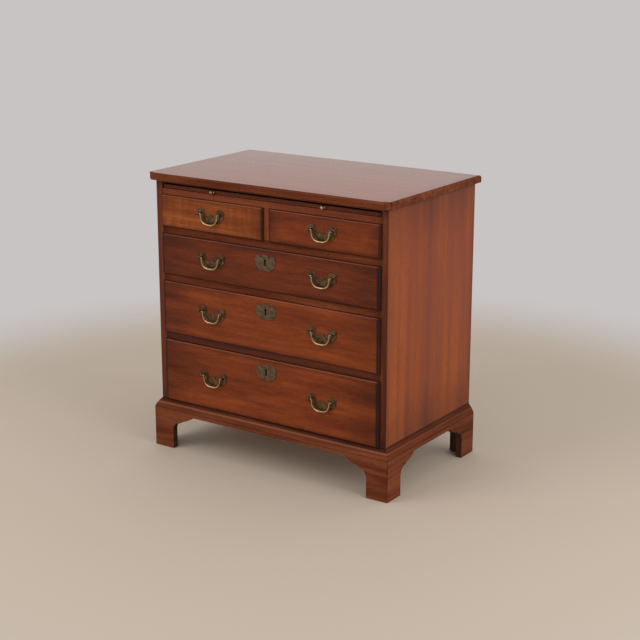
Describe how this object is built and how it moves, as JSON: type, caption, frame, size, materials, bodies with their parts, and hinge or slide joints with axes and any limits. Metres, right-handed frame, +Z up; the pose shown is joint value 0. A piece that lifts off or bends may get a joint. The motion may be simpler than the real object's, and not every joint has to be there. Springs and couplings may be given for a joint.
{
  "type": "bachelors chest",
  "caption": "Mahogany bachelor's chest with short over long drawers, a pull-out brushing slide under the top, brass bail handles and bracket feet.",
  "frame": {"origin": "on the floor, under the centre of the box that holds the chest at rest", "axes": "+X to the right of someone facing the front, +Y towards the back, +Z up; the drawers pull out along -Y"},
  "size_m": [0.821, 0.495, 0.832],
  "materials": {
    "mahogany": "polished",
    "mahogany_side": "polished",
    "mahogany_top": "polished",
    "amber_mahogany": "polished",
    "oak": "plain",
    "pine": "plain",
    "brass": "aged",
    "lock_brass": "dull"
  },
  "bodies": {
    "case": {"top_board": "mahogany_top", "side_left": "mahogany_side", "side_right": "mahogany_side", "slide_rail": "mahogany", "slide_bed": "pine", "rail_1": "mahogany", "dust_board_1": "pine", "rail_2": "mahogany", "dust_board_2": "pine", "rail_3": "mahogany", "dust_board_3": "pine", "bottom_rail": "mahogany", "bottom_board": "pine", "top_rail": "mahogany", "divider": "mahogany", "back_panel": "pine", "base_moulding_front": "mahogany", "base_moulding_left": "mahogany_side", "base_moulding_right": "mahogany_side", "bracket_front": "mahogany", "bracket_left": "mahogany_side", "bracket_right": "mahogany_side", "rear_bracket_left": "pine", "rear_bracket_right": "pine"},
    "brushing_slide": {"brushing_slide": "mahogany", "slide_knob_left": "brass", "slide_knob_right": "brass"},
    "drawer_short_left": {"drawer_short_left_front": "amber_mahogany", "drawer_short_left_box": "oak", "handle_plate_short_left": "brass"},
    "drawer_short_right": {"drawer_short_right_front": "mahogany", "drawer_short_right_box": "oak", "handle_plate_short_right": "brass"},
    "drawer_long_1": {"drawer_long_1_front": "mahogany", "drawer_long_1_box": "oak", "escutcheon_long_1": "brass", "lock_long_1": "lock_brass", "handle_plate_long_1_left": "brass", "handle_plate_long_1_right": "brass"},
    "drawer_long_2": {"drawer_long_2_front": "mahogany", "drawer_long_2_box": "oak", "escutcheon_long_2": "brass", "lock_long_2": "lock_brass", "handle_plate_long_2_left": "brass", "handle_plate_long_2_right": "brass"},
    "drawer_long_3": {"drawer_long_3_front": "mahogany", "drawer_long_3_box": "oak", "escutcheon_long_3": "brass", "lock_long_3": "lock_brass", "handle_plate_long_3_left": "brass", "handle_plate_long_3_right": "brass"},
    "bail_short_left": {"bail_short_left": "brass"},
    "bail_short_right": {"bail_short_right": "brass"},
    "bail_long_1_left": {"bail_long_1_left": "brass"},
    "bail_long_1_right": {"bail_long_1_right": "brass"},
    "bail_long_2_left": {"bail_long_2_left": "brass"},
    "bail_long_2_right": {"bail_long_2_right": "brass"},
    "bail_long_3_left": {"bail_long_3_left": "brass"},
    "bail_long_3_right": {"bail_long_3_right": "brass"}
  },
  "joints": [
    {"name": "brushing_slide_pull", "type": "slide", "parent": "case", "child": "brushing_slide", "axis": [0, -1, 0], "range_m": [0, 0.25]},
    {"name": "drawer_short_left_pull", "type": "slide", "parent": "case", "child": "drawer_short_left", "axis": [0, -1, 0], "range_m": [0, 0.32]},
    {"name": "bail_short_left_lift", "type": "hinge", "parent": "drawer_short_left", "child": "bail_short_left", "pos_m": [-0.19, -0.2405, 0.7315], "axis": [-1, 0, 0], "range_deg": [0, 85]},
    {"name": "drawer_short_right_pull", "type": "slide", "parent": "case", "child": "drawer_short_right", "axis": [0, -1, 0], "range_m": [0, 0.32]},
    {"name": "bail_short_right_lift", "type": "hinge", "parent": "drawer_short_right", "child": "bail_short_right", "pos_m": [0.19, -0.2405, 0.7315], "axis": [-1, 0, 0], "range_deg": [0, 85]},
    {"name": "drawer_long_1_pull", "type": "slide", "parent": "case", "child": "drawer_long_1", "axis": [0, -1, 0], "range_m": [0, 0.32]},
    {"name": "bail_long_1_left_lift", "type": "hinge", "parent": "drawer_long_1", "child": "bail_long_1_left", "pos_m": [-0.19, -0.2405, 0.604], "axis": [-1, 0, 0], "range_deg": [0, 85]},
    {"name": "bail_long_1_right_lift", "type": "hinge", "parent": "drawer_long_1", "child": "bail_long_1_right", "pos_m": [0.19, -0.2405, 0.604], "axis": [-1, 0, 0], "range_deg": [0, 85]},
    {"name": "drawer_long_2_pull", "type": "slide", "parent": "case", "child": "drawer_long_2", "axis": [0, -1, 0], "range_m": [0, 0.32]},
    {"name": "bail_long_2_left_lift", "type": "hinge", "parent": "drawer_long_2", "child": "bail_long_2_left", "pos_m": [-0.19, -0.2405, 0.445], "axis": [-1, 0, 0], "range_deg": [0, 85]},
    {"name": "bail_long_2_right_lift", "type": "hinge", "parent": "drawer_long_2", "child": "bail_long_2_right", "pos_m": [0.19, -0.2405, 0.445], "axis": [-1, 0, 0], "range_deg": [0, 85]},
    {"name": "drawer_long_3_pull", "type": "slide", "parent": "case", "child": "drawer_long_3", "axis": [0, -1, 0], "range_m": [0, 0.32]},
    {"name": "bail_long_3_left_lift", "type": "hinge", "parent": "drawer_long_3", "child": "bail_long_3_left", "pos_m": [-0.19, -0.2405, 0.252], "axis": [-1, 0, 0], "range_deg": [0, 85]},
    {"name": "bail_long_3_right_lift", "type": "hinge", "parent": "drawer_long_3", "child": "bail_long_3_right", "pos_m": [0.19, -0.2405, 0.252], "axis": [-1, 0, 0], "range_deg": [0, 85]}
  ]
}
